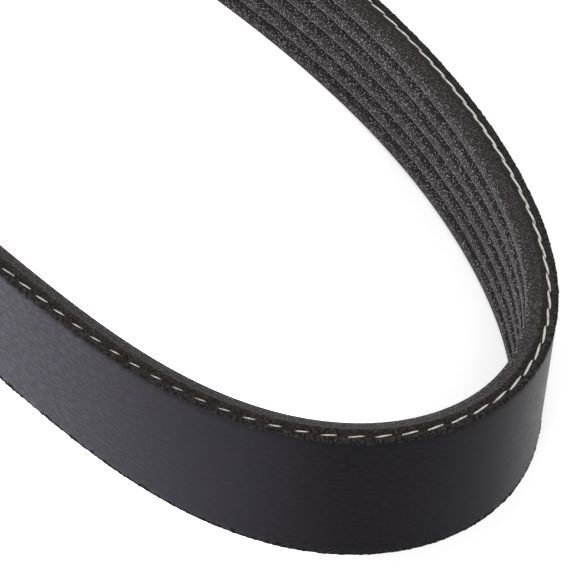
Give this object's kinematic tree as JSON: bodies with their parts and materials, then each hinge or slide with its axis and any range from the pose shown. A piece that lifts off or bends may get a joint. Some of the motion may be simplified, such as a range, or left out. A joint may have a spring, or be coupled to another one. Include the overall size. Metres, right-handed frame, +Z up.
{
  "type": "serpentine belt",
  "caption": "Endless multi-ribbed rubber drive belt standing on edge: smooth back outside, V-shaped ribs inside, white tensile cord bared along the cut edges.",
  "frame": {"origin": "on the ground under the middle of the loop, in the plane of the lower cut edge", "axes": "+X along the long way of the loop, towards a tight bend; +Y across the loop; +Z up, across the belt's width"},
  "size_m": [0.3624, 0.0964, 0.0214],
  "materials": {
    "belt_rubber": "satin",
    "tensile_cord": "matte"
  },
  "bodies": {
    "root": {"belt_body": "belt_rubber", "edge_cord_upper": "tensile_cord", "edge_cord_lower": "tensile_cord"}
  },
  "joints": []
}
